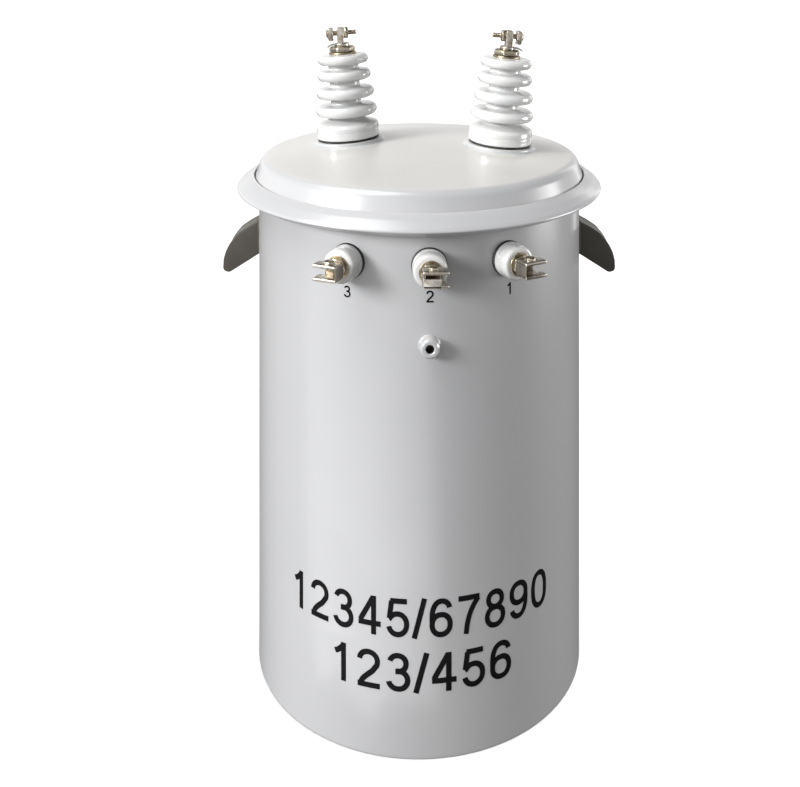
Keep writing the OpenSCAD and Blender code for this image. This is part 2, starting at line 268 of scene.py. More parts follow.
def add_bead(bm, path, r, m=Matrix(), ripple=0.12, pitch=3.6, seed=0, closed=False):
    """A weld bead: a tube with fine ripples, half sunk in what it joins."""
    pts = [Vector(p) for p in path]
    fine = []
    count = len(pts) if closed else len(pts) - 1
    for i in range(count):
        a, b = pts[i], pts[(i + 1) % len(pts)]
        n = max(1, int((b - a).length / 1.1))
        fine += [a.lerp(b, k / n) for k in range(n)]
    if not closed:
        fine.append(pts[-1])
    verts, faces, ring = [], [], 10
    s = 0.0
    total = len(fine)
    for i, p in enumerate(fine):
        nxt = fine[(i + 1) % total] if closed or i + 1 < total else p
        prv = fine[i - 1] if closed or i > 0 else p
        t = (nxt - prv).normalized()
        side = t.cross(Vector((0.31, 0.52, 0.79))).normalized()
        other = t.cross(side)
        s += (nxt - p).length
        q = r * (1 + ripple * abs(math.sin(math.pi * s / pitch + seed)) - ripple / 2
                 + 0.07 * math.sin(0.31 * s + 1.7 * seed) + 0.05 * math.sin(0.113 * s + seed))
        if not closed:
            q *= min(1, 0.35 + 0.3 * min(i, total - 1 - i))
        for k in range(ring):
            w = 2 * math.pi * k / ring
            verts.append(p + q * (math.cos(w) * side + math.sin(w) * other))
    for i in range(total if closed else total - 1):
        a, b = i * ring, ((i + 1) % total) * ring
        for k in range(ring):
            j = (k + 1) % ring
            faces.append((a + k, a + j, b + j, b + k))
    if not closed:
        faces.append(tuple(range(ring))[::-1])
        faces.append(tuple(range((total - 1) * ring, total * ring)))
    add(bm, verts, faces, m)


def piece(bm, name, material, nodes=(), sharp=38):
    """Makes the object, in metres, riding on the one body of the frame."""
    bmesh.ops.recalc_face_normals(bm, faces=bm.faces[:])
    bmesh.ops.scale(bm, vec=(MM, MM, MM), verts=bm.verts[:])
    me = bpy.data.meshes.new(name)
    bm.to_mesh(me)
    bm.free()
    # the many-sided end faces of drawn-out shapes stay flat
    me.polygons.foreach_set("use_smooth", [len(f.vertices) < 5 for f in me.polygons])
    me.set_sharp_from_angle(angle=math.radians(sharp))
    me.materials.append(material)
    o = bpy.data.objects.new(name, me)
    bpy.context.scene.collection.objects.link(o)
    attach(o, "root")
    if nodes:
        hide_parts(*nodes)
    return o


# ------------------------------------------------------------------- materials


class Nodes:
    """A short way to write a material's nodes."""

    def __init__(self, name):
        self.m = bpy.data.materials.new(name)
        self.m.use_nodes = True
        self.t = self.m.node_tree
        self.t.nodes.clear()
        self.out = self.t.nodes.new("ShaderNodeOutputMaterial")
        self.bsdf = self.t.nodes.new("ShaderNodeBsdfPrincipled")
        self.t.links.new(self.bsdf.outputs[0], self.out.inputs[0])
        self.co = self.t.nodes.new("ShaderNodeTexCoord")

    def link(self, a, b):
        self.t.links.new(a, b)

    def set(self, **values):
        for k, v in values.items():
            self.bsdf.inputs[k.replace("_", " ")].default_value = v

    def where(self, stretch):
        n = self.t.nodes.new("ShaderNodeMapping")
        n.inputs["Scale"].default_value = stretch
        self.link(self.co.outputs["Object"], n.inputs["Vector"])
        return n.outputs[0]

    def noise(self, scale, detail=3.0, rough=0.5, vector=None, warp=0.0):
        n = self.t.nodes.new("ShaderNodeTexNoise")
        n.inputs["Scale"].default_value = scale
        n.inputs["Detail"].default_value = detail
        n.inputs["Roughness"].default_value = rough
        n.inputs["Distortion"].default_value = warp
        self.link(vector or self.co.outputs["Object"], n.inputs["Vector"])
        return n.outputs["Fac"]

    def ramp(self, fac, *stops):
        n = self.t.nodes.new("ShaderNodeValToRGB")
        e = n.color_ramp.elements
        while len(e) < len(stops):
            e.new(0.5)
        for q, (p, c) in zip(e, stops):
            q.position = p
            q.color = (*c, 1) if isinstance(c, tuple) else (c, c, c, 1)
        self.link(fac, n.inputs[0])
        return n.outputs[0]

    def mix(self, fac, a, b, how="MIX"):
        n = self.t.nodes.new("ShaderNodeMix")
        n.data_type = "RGBA"
        n.blend_type = how
        for value, socket in ((fac, n.inputs["Factor"]), (a, n.inputs[6]), (b, n.inputs[7])):
            if hasattr(value, "is_output"):
                self.link(value, socket)
            elif isinstance(value, tuple):
                socket.default_value = (*value, 1)
            else:
                socket.default_value = value
        return n.outputs[2]

    def maths(self, how, a, b, clamp=False):
        n = self.t.nodes.new("ShaderNodeMath")
        n.operation = how
        n.use_clamp = clamp
        for value, socket in zip((a, b), n.inputs):
            if hasattr(value, "is_output"):
                self.link(value, socket)
            else:
                socket.default_value = value
        return n.outputs[0]

    def bump(self, height, strength, distance, after=None):
        n = self.t.nodes.new("ShaderNodeBump")
        n.inputs["Strength"].default_value = strength
        n.inputs["Distance"].default_value = distance
        self.link(height, n.inputs["Height"])
        if after is not None:
            self.link(after, n.inputs["Normal"])
        return n.outputs[0]

    def geometry(self, name):
        n = self.t.nodes.new("ShaderNodeNewGeometry")
        return n.outputs[name]

    def split(self, vector, axis):
        n = self.t.nodes.new("ShaderNodeSeparateXYZ")
        self.link(vector, n.inputs[0])
        return n.outputs[axis]

    def colour(self, value):
        self.link(value, self.bsdf.inputs["Base Color"])

    def rough(self, value):
        self.link(value, self.bsdf.inputs["Roughness"])

    def normal(self, value):
        self.link(value, self.bsdf.inputs["Normal"])


def paint_material():
    # light grey air-dried enamel: faint cloudiness, runs drawn out downwards,
    # orange peel, and faces that point up painted paler: a painted top light, with a little dust
    k = Nodes("grey_enamel")
    cloud = k.noise(3.0, 2, 0.5)
    runs = k.noise(1.0, 2, 0.5, k.where((22, 22, 1.4)))
    base = k.ramp(cloud, (0.30, (0.368, 0.371, 0.381)), (0.70, (0.384, 0.386, 0.392)))
    base = k.mix(k.ramp(runs, (0.40, 0.0), (0.80, 0.30)), base, (0.360, 0.361, 0.367))
    # faces that point up are painted paler: painted light from above, speckled a little like dust
    facing = k.split(k.geometry("Normal"), 2)
    top_light_and_dust = k.maths("MULTIPLY", k.ramp(facing, (0.85, 0.0), (0.99, 0.8)), k.ramp(k.noise(14, 3, 0.5), (0.25, 0.75), (0.75, 1.0)))
    base = k.mix(top_light_and_dust, base, (0.56, 0.545, 0.515))
    k.colour(base)
    k.normal(k.bump(k.noise(260, 1, 0.5), 0.04, 0.0004))
    k.set(Roughness=0.28, Specular_IOR_Level=0.5, Coat_Weight=0.55, Coat_Roughness=0.22)
    return k.m


def lug_material():
    # dark primer-like paint, thin and paler along its edges
    k = Nodes("dark_lug_paint")
    base = k.ramp(k.noise(30, 3, 0.55), (0.3, (0.038, 0.034, 0.027)), (0.7, (0.050, 0.045, 0.037)))
    edge = k.maths("MULTIPLY", k.ramp(k.geometry("Pointiness"), (0.54, 0.0), (0.64, 1.0)), k.ramp(k.noise(120, 3, 0.6), (0.35, 0.3), (0.65, 0.8)))
    base = k.mix(edge, base, (0.25, 0.235, 0.20))
    k.colour(base)
    k.rough(k.ramp(k.noise(60, 3, 0.6), (0.3, 0.42), (0.7, 0.55)))
    k.normal(k.bump(k.noise(520, 3, 0.55), 0.12, 0.0004))
    k.set(Specular_IOR_Level=0.4)
    return k.m


def porcelain_material():
    # glazed white porcelain: faint grey cloud, tiny specks, slightly wavy glaze
    k = Nodes("glazed_porcelain")
    base = k.ramp(k.noise(22, 3, 0.5), (0.3, (0.515, 0.520, 0.520)), (0.7, (0.560, 0.558, 0.545)))
    base = k.mix(k.ramp(k.noise(1500, 1, 0.5), (0.70, 0.0), (0.80, 0.25)), base, (0.36, 0.345, 0.32))
    k.colour(base)
    k.normal(k.bump(k.noise(70, 2, 0.5), 0.06, 0.0012))
    k.set(Roughness=0.12, Specular_IOR_Level=0.55, Coat_Weight=0.5, Coat_Roughness=0.05)
    return k.m


def bronze_material(name, tin, brown, amount):
    # tin plating over bronze: patches where the warm metal shows, rubbed edges
    k = Nodes(name)
    patch = k.noise(120, 4, 0.62, warp=0.4)
    base = k.mix(k.ramp(patch, (0.5 - amount, 0.0), (0.72 - amount, 1.0)), tin, brown)
    base = k.mix(k.ramp(k.noise(900, 3, 0.6), (0.45, 0.0), (0.75, 0.45)), base, (0.16, 0.125, 0.08))
    edge = k.ramp(k.geometry("Pointiness"), (0.52, 0.0), (0.60, 0.85))
    base = k.mix(edge, base, (0.70, 0.67, 0.60))
    k.colour(base)
    k.rough(k.ramp(k.noise(240, 4, 0.6), (0.3, 0.22), (0.7, 0.44)))
    k.normal(k.bump(k.noise(650, 3, 0.6), 0.22, 0.0004))
    k.set(Metallic=1.0)
    return k.m


def rubber_material():
    k = Nodes("black_rubber")
    base = k.ramp(k.noise(90, 4, 0.6), (0.35, (0.010, 0.010, 0.010)), (0.75, (0.028, 0.027, 0.026)))
    k.colour(base)
    k.rough(k.ramp(k.noise(160, 3, 0.6), (0.3, 0.50), (0.7, 0.68)))
    k.normal(k.bump(k.noise(700, 3, 0.6), 0.2, 0.0004))
    k.set(Specular_IOR_Level=0.35)
    return k.m


def zinc_material():
    k = Nodes("zinc_plate")
    base = k.ramp(k.noise(150, 4, 0.6), (0.3, (0.50, 0.50, 0.49)), (0.7, (0.66, 0.66, 0.64)))
    base = k.mix(k.ramp(k.noise(30, 3, 0.6), (0.5, 0.0), (0.8, 0.4)), base, (0.60, 0.56, 0.44))
    k.colour(base)
    k.rough(k.ramp(k.noise(200, 3, 0.6), (0.3, 0.26), (0.7, 0.42)))
    k.normal(k.bump(k.noise(800, 2, 0.5), 0.15, 0.0003))
    k.set(Metallic=1.0)
    return k.m


def ink_material():
    k = Nodes("marking_ink")
    base = k.ramp(k.noise(130, 4, 0.65), (0.3, (0.0025, 0.0025, 0.003)), (0.75, (0.006, 0.006, 0.0065)))
    k.colour(base)
    k.rough(k.ramp(k.noise(220, 3, 0.6), (0.3, 0.55), (0.7, 0.65)))
    k.normal(k.bump(k.noise(420, 2, 0.5), 0.06, 0.0004))
    k.set(Specular_IOR_Level=0.06)
    return k.m


def hole_material():
    k = Nodes("dark_thread")
    base = k.ramp(k.noise(300, 3, 0.6), (0.3, (0.035, 0.032, 0.028)), (0.7, (0.075, 0.068, 0.060)))
    k.colour(base)
    k.rough(k.ramp(k.noise(300, 3, 0.6), (0.3, 0.4), (0.7, 0.6)))
    k.set(Metallic=0.6)
    return k.m


def core_material():
    k = Nodes("varnished_core")
    base = k.ramp(k.noise(40, 4, 0.6, k.where((1, 30, 1))), (0.3, (0.12, 0.10, 0.085)), (0.7, (0.20, 0.17, 0.14)))
    k.colour(base)
    k.rough(k.ramp(k.noise(80, 3, 0.6), (0.3, 0.4), (0.7, 0.6)))
    return k.m


PAINT = paint_material()
LUG = lug_material()
PORCELAIN = porcelain_material()
BRONZE = bronze_material("tinned_bronze", (0.46, 0.435, 0.385), (0.29, 0.225, 0.15), 0.03)
# a darker copy of the tinned bronze: painted shade for the recess of the low voltage terminals
RECESS_SHADE_BRONZE = bronze_material("recess_shade_bronze", (0.17, 0.135, 0.10), (0.10, 0.075, 0.05), 0.05)
BROWN = bronze_material("brown_bronze", (0.36, 0.315, 0.225), (0.22, 0.17, 0.10), 0.08)
RUBBER = rubber_material()
ZINC = zinc_material()
INK = ink_material()
HOLE = hole_material()
CORE = core_material()

# ------------------------------------------------------------------------ tank
R = 225.0


def dent(w, z):
    """The small unevenness of a rolled and welded wall."""
    return (0.16 * math.sin(3 * w + 0.7 + 0.004 * z) + 0.10 * math.sin(7 * w + 0.011 * z)
            + 0.07 * math.sin(2 * w + 0.021 * z + 1.3) + 0.05 * math.sin(13 * w - 0.017 * z)) * min(1, max(0, (z - 6) / 30))


bm = bmesh.new()
wall = rounded([(222, 17.5), (222, 0, 1.2), (225, 0, 1.3), (225, 4)], 5)
wall += [(225, z) for z in np.linspace(10, 643, 70)]
add_lathe(bm, wall, segs=240, wave=lambda w, z: dent(w, z) if z > 5 else 0)
add_lathe(bm, [(222, 600), (222, 643), (225, 643)], segs=240)
# the upright seam of the rolled wall, at the back
seam = [(R * math.sin(math.radians(206)), -R * math.cos(math.radians(206)), z) for z in np.linspace(2, 641, 160)]
add_bead(bm, seam, 2.3, ripple=0.16, pitch=3.4, seed=2)
piece(bm, "tank_wall", PAINT, ("tank_shell",))

bm = bmesh.new()
add_lathe(bm, [(0, 16)] + [(r, 16 - 0.25 * (1 - (r / 214) ** 2)) for r in (30, 60, 90, 120, 150, 180, 205)]
          + rounded([(214, 16), (217.5, 15.6, 3), (222, 10.8)], 5) + [(222, 20), (0, 20)], segs=180,
          wave=lambda w, z: 0.25 * math.sin(95 * w) if 10.9 < z < 15.7 else 0)
piece(bm, "tank_bottom_plate", PAINT, ("tank_bottom",))

bm = bmesh.new()
add_lathe(bm, rounded([(222, 643), (243, 643, 0.6), (243, 646, 0.6), (222, 646)], 4), segs=240, closed=True)
add_lathe(bm, [(225, 637.5), (226.2, 639.6), (228.2, 641.6), (230.4, 643)], segs=720,
          wave=lambda w, z: 0.35 * abs(math.sin(190 * w)) if z < 642.5 else 0)
piece(bm, "tank_top_flange", PAINT, ("tank_flange",))

bm = bmesh.new()
add_lathe(bm, rounded([(228, 646), (242, 646, 1.0), (242.6, 648.5, 2), (242, 651, 1.0), (228, 651)], 4), segs=240, closed=True)
piece(bm, "cover_seal", RUBBER, ("cover_gasket",))

# ----------------------------------------------------------------------- cover
CROWN_Z, CROWN_R = 705.0, 1400.0
DOME = CROWN_Z - CROWN_R


def dome(r):
    return DOME + math.sqrt(CROWN_R ** 2 - r ** 2)


def cover_line(d):
    tin = math.asin(212 / CROWN_R)
    wdeg = math.radians(70.7)
    sc = (212 - 16 * math.sin(tin), dome(212) - 16 * math.cos(tin))
    line = [((CROWN_R - d) * math.sin(tin * i / 26), DOME + (CROWN_R - d) * math.cos(tin * i / 26)) for i in range(27)]
    for i in range(1, 13):
        a = tin + (wdeg - tin) * i / 12
        line.append((sc[0] + (16 - d) * math.sin(a), sc[1] + (16 - d) * math.cos(a)))
    hi = (sc[0] + 16 * math.sin(wdeg), sc[1] + 16 * math.cos(wdeg))
    n = (hi[1] - (654 + 5 - 5 * math.cos(wdeg))) / math.sin(wdeg)
    fc = (hi[0] + n * math.cos(wdeg) + 5 * math.sin(wdeg), hi[1] - n * math.sin(wdeg) + 5 * math.cos(wdeg))
    for i in range(9):
        a = wdeg * (1 - i / 8)
        line.append((fc[0] - (5 + d) * math.sin(a), fc[1] - (5 + d) * math.cos(a)))
    return line


def press(w, z):
    """The pressed cover isn't quite true."""
    return 0.10 * math.sin(5 * w + 0.4) + 0.07 * math.sin(9 * w + 2.0) + 0.05 * math.sin(17 * w)


bm = bmesh.new()
outer = cover_line(0) + rounded([(240, 654), (244, 654, 1.1), (244, 651, 1.1), (238, 651)], 4)
add_lathe(bm, outer + cover_line(3)[::-1], segs=288, wave=lambda w, z: press(w, z) if 656 < z < 695 else 0)
piece(bm, "cover_dome", PAINT, ("cover",))

# -------------------------------------------------------------- clamp ring
SPLIT, GAP = 140.0, 10.0


TOP_LEG, LOW_LEG, NOSE_R = math.radians(34), math.radians(25), 255.0


def ring_point(r, d, upper):
    if upper:
        return 654 - (r - 244) * math.tan(TOP_LEG) + d / math.cos(TOP_LEG)
    return 643 + (r - 243) * math.tan(LOW_LEG) - d / math.cos(LOW_LEG)


apex_i = (654 + 244 * math.tan(TOP_LEG) - 643 + 243 * math.tan(LOW_LEG)) / (math.tan(TOP_LEG) + math.tan(LOW_LEG))
# the band is a little crowned between its lip and its nose
band = rounded([
    (231, ring_point(231, 0, True), 1.0), (232.3, ring_point(232.3, 2.5, True), 1.3),
    (243, ring_point(243, 2.5, True) + 0.5, 14), (252.4, ring_point(252.4, 2.5, True) - 0.1, 5), (NOSE_R, 648.2, 2.6),
    (NOSE_R, ring_point(NOSE_R, 2.5, False) + 0.3, 1.2),
    (236 + 1.4, ring_point(236 + 1.4, 2.5, False), 1.1), (236, ring_point(236, 0, False), 1.1),
    (apex_i, ring_point(apex_i, 0, True), 3.5)], 8, True)
half = math.degrees(math.asin(GAP / 2 / NOSE_R))
bm = bmesh.new()
add_lathe(bm, band, segs=300, start=SPLIT - 90 + half, end=SPLIT - 90 + 360 - half, closed=True,
          wave=lambda w, z: 0.10 * math.sin(6 * w + 1) + 0.06 * math.sin(11 * w))
piece(bm, "clamp_band", PAINT, ("clamp_ring",))

NOSE_Z = (ring_point(NOSE_R, 2.5, True) + ring_point(NOSE_R, 2.5, False)) / 2
for s, name in ((-1, "left"), (1, "right")):
    bm = bmesh.new()
    m = turn(SPLIT, "Z") @ move(0, -264.5, NOSE_Z) @ turn(90, "Y")
    x0 = GAP / 2 if s > 0 else -GAP / 2 - 7
    line = rounded([(14, -11.5, 4), (14, 8, 2), (4, 17.5, 3), (-4, 17.5, 3), (-14, 8, 2), (-14, -11.5, 4)], 5, True)
    add_prism(bm, line, x0, x0 + 7, m, edge=0.9)
    bead = [turn(SPLIT, "Z") @ Vector((x0 + (7.4 if s > 0 else -0.4), -y, z)) for y, z in
            ((244.5, 657.5), (248, 655), (251.5, 652.6), (254, 650.4), (255.2, 648), (254, 645.4), (250, 643.4), (246, 641.5))]
    add_bead(bm, bead, 1.7, seed=s + 3)
    piece(bm, "clamp_band_lug_" + name, PAINT, ("clamp_ring_lug_" + name,))

bm = bmesh.new()
m = turn(SPLIT, "Z") @ move(0, -267, NOSE_Z) @ turn(90, "Y")
add_lathe(bm, [(0, -27), (4.6, -27), (5, -26.4), (5, 4)], m, 40)
add_thread(bm, 5, 4, 25, 1.5, m)
add_nut(bm, 16, 7, m @ move(0, 0, GAP / 2 + 7))
add_lathe(bm, rounded([(0, 12.05), (9.6, 12.05, 0.4), (9.6, 13.4, 0.4), (0, 13.4)], 3), m, 48)
add_nut(bm, 16, 7, m @ move(0, 0, -GAP / 2 - 7) @ turn(180, "X"), both=False)
piece(bm, "clamp_band_bolt", ZINC, ("clamp_ring_bolt",))

# ---------------------------------------------------------------- lifting lugs
def smooth_line(points, n):
    """A smooth curve through points."""
    pts = [Vector(p) for p in points]
    pts = [2 * pts[0] - pts[1]] + pts + [2 * pts[-1] - pts[-2]]
    out = []
    for i in range(1, len(pts) - 2):
        a, b, c, d = pts[i - 1:i + 3]
        for k in range(n):
            t = k / n
            out.append(tuple(0.5 * ((2 * b) + (c - a) * t + (2 * a - 5 * b + 4 * c - d) * t * t
                                    + (3 * b - a - 3 * c + d) * t ** 3)))
    return out + [tuple(pts[-2])]


LUG_TURN, LUG_W, LUG_T = -3.2, 22.0, 5.0
lug_back = [(-2.2, 596.4), (0, 595.5), (8, 591.3), (16, 587), (24, 581.8), (30, 577.5)]
lug_back += smooth_line([(30, 577.5), (40, 565), (46.5, 552.5), (49.7, 541)], 7)[1:]
lug_tip = rounded([(49.7, 541), (50.1, 526.0, 9.5), (41, 523.6, 7), (0, 549.5), (-2.2, 550.85)], 9)[1:]
lug_inner = inset(lug_back + lug_tip, LUG_T)[:len(lug_back)]
for s, name in ((-1, "left"), (1, "right")):
    place = turn(LUG_TURN, "Z")
    m = place @ (turn(180, "Z") if s < 0 else Matrix()) @ move(R, 0, 0) @ turn(90, "X")
    bm = bmesh.new()
    for z0 in (-LUG_W, LUG_W - LUG_T):
        add_prism(bm, lug_back + lug_tip, z0, z0 + LUG_T, m, edge=1.3, n=4)
    add_prism(bm, inset(lug_back + lug_tip, 0.5)[:len(lug_back)] + lug_inner[::-1], -LUG_W + LUG_T - 0.6, LUG_W - LUG_T + 0.6, m, edge=0.2, n=1)
    piece(bm, "lifting_hook_" + name, LUG, ("lifting_lug_" + name,), sharp=42)
    bm = bmesh.new()
    for q in (-1, 1):
        y = q * (LUG_W + 0.3)
        x = math.sqrt((R + 0.2) ** 2 - y * y)
        add_bead(bm, [place @ Vector((s * x, y, z)) for z in np.linspace(551.5, 594, 24)], 2.0, seed=q + s)
    add_bead(bm, [place @ Vector((s * math.sqrt((R + 0.2) ** 2 - y * y), y, 596)) for y in np.linspace(-19, 19, 24)], 2.0, seed=5 + s)
    piece(bm, "lifting_hook_weld_" + name, LUG)

# ------------------------------------------------------------- hanger brackets
for z, name in ((507.0, "upper"), (507.0 - 285.75, "lower")):
    bm = bmesh.new()
    # mounting face with its slot: matching rings of points, bridged
    n = 96
    face_ring, slot_ring = [], []
    for k in range(n):
        a = 2 * math.pi * k / n + 1e-4
        c, sn = math.cos(a), math.sin(a)
        q = min(48 / max(1e-9, abs(c)), 42 / max(1e-9, abs(sn)))
        face_ring.append((q * c, q * sn))
        # slot: round ends, 8.75 in radius, 14.25 from the middle
        lo, hi = 0.0, 60.0
        for _ in range(40):
            mid = (lo + hi) / 2
            x, y = mid * c, mid * sn
            over = math.hypot(x, max(0, abs(y) - 14.25)) - 8.75
            lo, hi = (mid, hi) if over < 0 else (lo, mid)
        slot_ring.append((lo * c, lo * sn))
    slot_wide = [(x * 1.06, y * 1.03) for x, y in slot_ring]
    m = move(0, 0, z) @ turn(90, "X")
    rows = [(face_ring, -275.0), (face_ring, -281.0), (slot_wide, -281.0), (slot_ring, -280.2),
            (slot_ring, -275.8), (slot_wide, -275.0)]
    verts, faces = [], []
    for line, d in rows:
        verts += [(x, y, d) for x, y in line]
    for i in range(len(rows)):
        a, b = i * n, ((i + 1) % len(rows)) * n
        for k in range(n):
            j = (k + 1) % n
            faces.append((a + k, a + j, b + j, b + k))
    add(bm, verts, faces, m)
    up_m = move(0, 0, z)
    for s in (-1, 1):
        bend = []
        for k in range(9):
            a = math.pi / 2 * k / 8
            bend.append((s * (48 + 14 * math.sin(a)), 267 + 14 * math.cos(a)))
        for k in range(9):
            a = math.pi / 2 * (1 - k / 8)
            bend.append((s * (48 + 8 * math.sin(a)), 267 + 8 * math.cos(a)))
        add_prism(bm, bend, -42, 42, up_m, edge=0.8)
        leg = [(s * 62, 267), (s * 62, math.sqrt(R * R - 62 ** 2) - 0.6), (s * 56, math.sqrt(R * R - 56 ** 2) - 0.6), (s * 56, 267)]
        add_prism(bm, leg, -42, 42, up_m, edge=0.8)
    for s in (-1, 1):
        x = s * 62.6
        add_bead(bm, [(x, math.sqrt((R + 0.3) ** 2 - x * x), z + q) for q in np.linspace(-40, 40, 30)], 2.8, seed=s + z)
        x = s * 55.4
        add_bead(bm, [(x, math.sqrt((R + 0.3) ** 2 - x * x), z + q) for q in np.linspace(-40, 40, 30)], 2.2, seed=s - z)
    piece(bm, "pole_hanger_" + name, PAINT, ("hanger_bracket_" + name,))

# ---------------------------------------------------------------- ground boss
bm = bmesh.new()
m = move(0, -R, 502) @ turn(90, "X")
add_lathe(bm, rounded([(13.6, -0.4), (12.4, 0.8, 1.2), (12, 2.2, 1.2), (12, 11, 0.6), (9.6, 14, 0.8), (6.3, 14, 0.3), (5.15, 12.8)], 5), m, 96,
          wave=lambda w, z: 0.22 * abs(math.sin(11 * w)) if z < 1.4 else 0)
piece(bm, "earth_boss", PAINT, ("ground_boss",))
bm = bmesh.new()
verts, faces = [], []
segs, steps = 48, 70
for i in range(steps + 1):
    zz = 12.9 - 11.9 * i / steps
    for k in range(segs):
        w = 2 * math.pi * k / segs
        ph = (zz / 1.75 - k / segs) % 1.0
        q = 5.1 + 0.5 * (1 - abs(2 * ph - 1)) * min(1, i / 4)
        verts.append((q * math.cos(w), q * math.sin(w), zz))
for i in range(steps):
    for k in range(segs):
        j = (k + 1) % segs
        faces.append((i * segs + k, (i + 1) * segs + k, (i + 1) * segs + j, i * segs + j))
faces.append(tuple(range(steps * segs, (steps + 1) * segs)))
add(bm, verts, faces, m)
piece(bm, "earth_boss_thread", HOLE)

# ------------------------------------------------------ high voltage bushings
TURN, HV_R, HV_SHIFT = -11.0, 108.0, 6.0
SHED_Z, SHED_R, SHED_T = [38, 63, 88, 110.5], [43.5, 41.2, 38.2, 36], [14.5, 14.2, 13.8, 13.2]


def hv_at(side):
    tilt = math.degrees(math.asin((side * HV_R + HV_SHIFT) / CROWN_R))
    return turn(TURN, "Z") @ move(0, 0, DOME) @ turn(tilt, "Y") @ move(0, 0, CROWN_R)


def hv_top(side):
    return hv_at(side) @ move(0, 0, 4 + 3 + 118) @ turn(-TURN + (180 if side < 0 else 0), "Z")


def hv_profile():
    line = [(20, 0, 0), (44.4, 0, 1.8), (44.4, 9.6, 0.6), (43.9, 10.4, 0.5), (44.4, 11.2, 0.6), (44.4, 19.5, 6.5), (27, 25.0, 6)]
    low = 25.5
    for z, r, t in zip(SHED_Z, SHED_R, SHED_T):
        h = t / 2
        core = 21.5
        line += [(core, z - h + 0.4, 3.6), (r, z - h, h * 0.97), (r, z + h, h * 0.97), (core, z + h + 1.4, 3.6)]
        low = z + h
    line = line[:-1] + [(21, 117.6, 2), (20.5, 118, 0.3), (7, 118, 0)]
    return rounded(line, 8)


HV_LINE = hv_profile()
for side, name in ((-1, "left"), (1, "right")):
    m = hv_at(side)
    # raised seat, drawn up out of the cover: round lip and a swept foot
    bm = bmesh.new()

    def sag(r):
        return -r * r / (2 * CROWN_R)

    add_lathe(bm, rounded([(18, 4), (48, 4, 1.9), (48.4, 1.2, 1.2), (51.5, sag(51.5) + 0.15, 3.0), (57, sag(57) + 0.03)], 6), m, 144)
    piece(bm, "hv_seat_" + name, PAINT)
    bm = bmesh.new()
    add_lathe(bm, rounded([(21, 4), (43.0, 4, 0.8), (43.7, 5.5, 1.2), (43.0, 7, 0.8), (21, 7)], 4), m, 128)
    piece(bm, "hv_seal_" + name, RUBBER, ("hv_gasket_" + name,))
    bm = bmesh.new()
    add_lathe(bm, HV_LINE, m @ move(0, 0, 7), 128)
    piece(bm, "hv_porcelain_" + name, PORCELAIN, ("hv_bushing_" + name,))

    m = hv_top(side)
    bm = bmesh.new()
    add_lathe(bm, rounded([(6, 0), (19.3, 0, 0.8), (19.5, 1.5, 0.8), (19.0, 3, 0.8), (6, 3)], 4), m, 96)
    add_nut(bm, 32, 7.8, m @ move(0, 0, 3.05) @ turn(8, "Z"))
    add_lathe(bm, rounded([(0, 10.9), (9.5, 10.9, 0.5), (9.5, 12.2, 0.5), (0, 12.2)], 3), m, 64)
    piece(bm, "hv_hub_nut_" + name, BROWN, ("hv_stud_nut_" + name,))

    bm = bmesh.new()
    add_lathe(bm, rounded([(0, 11), (10.5, 11, 0.7), (10.5, 15.4, 1.4), (0, 17)], 5), m, 72)
    spine = rounded([(-3.5, 11, 0.5), (6.0, 11, 0.5), (6.0, 33.5, 1.0), (6.0, 38, 2.2), (-3.5, 38, 2.2)], 5, True)
    add_prism(bm, spine, -8.5, 8.5, m @ turn(90, "X"), edge=1.1)
    toe = smooth_line([(3, 14.6), (9, 15.0), (14, 14.6), (18.2, 13.4), (21, 11.8)], 4)
    toe = toe + [(x - 0.5, y - 1.7) for x, y in toe[::-1]]
    add_prism(bm, toe, -8.2, 8.2, m @ turn(90, "X"), edge=0.6, n=2)
    piece(bm, "hv_terminal_" + name, BRONZE, ("hv_clamp_" + name,))

    bm = bmesh.new()
    jaw = rounded([(11.5, 19.5, 1.2), (17.2, 19.5, 1.8), (19, 22.5, 1.5), (19, 36, 2.2), (17, 38, 1.5), (11.5, 38, 1.6),
                   (11.5, 26.5, 0.4), (12.4, 24.8, 0.6), (12.4, 22.4, 0.6), (11.5, 20.9, 0.4)], 4, True)
    add_prism(bm, jaw, -8.5, 8.5, m @ turn(90, "X"), edge=1.1)
    piece(bm, "hv_jaw_" + name, BRONZE, ("hv_clamp_jaw_" + name,))

    bm = bmesh.new()
    k = m @ move(0, 0, 30) @ turn(90, "Y")
    add_lathe(bm, [(3.4, -4), (3.4, 19)], k, 40)
    add_thread(bm, 3.5, -8, -22, 1.25, k)
    add_nut(bm, 14, 6.2, k @ move(0, 0, -9.9) @ turn(side * 11, "Z"))
    add_lathe(bm, rounded([(0, -3.6), (7.6, -3.6, 0.3), (7.6, -4.6, 0.3), (0, -4.6)], 3), k, 48)
    add_lathe(bm, rounded([(6, 19), (6.1, 19.6, 0.4), (5.2, 20.9, 1.2), (3, 21.5, 1.5), (0, 21.5)], 5), k, 56)
    piece(bm, "hv_bolt_" + name, BROWN, ("hv_clamp_bolt_" + name,))

# ------------------------------------------------------- low voltage bushings
LV_Z, LV_STEP = 599.0, 26.0


def lv_at(i):
    return turn(i * LV_STEP, "Z") @ move(0, -R, LV_Z) @ turn(90, "X")


def wall_gap(w, r):
    """Depth of the round wall below the bushing's flat seat, at a point."""
    x = r * math.cos(w)
    return -(R - math.sqrt(R * R - x * x))


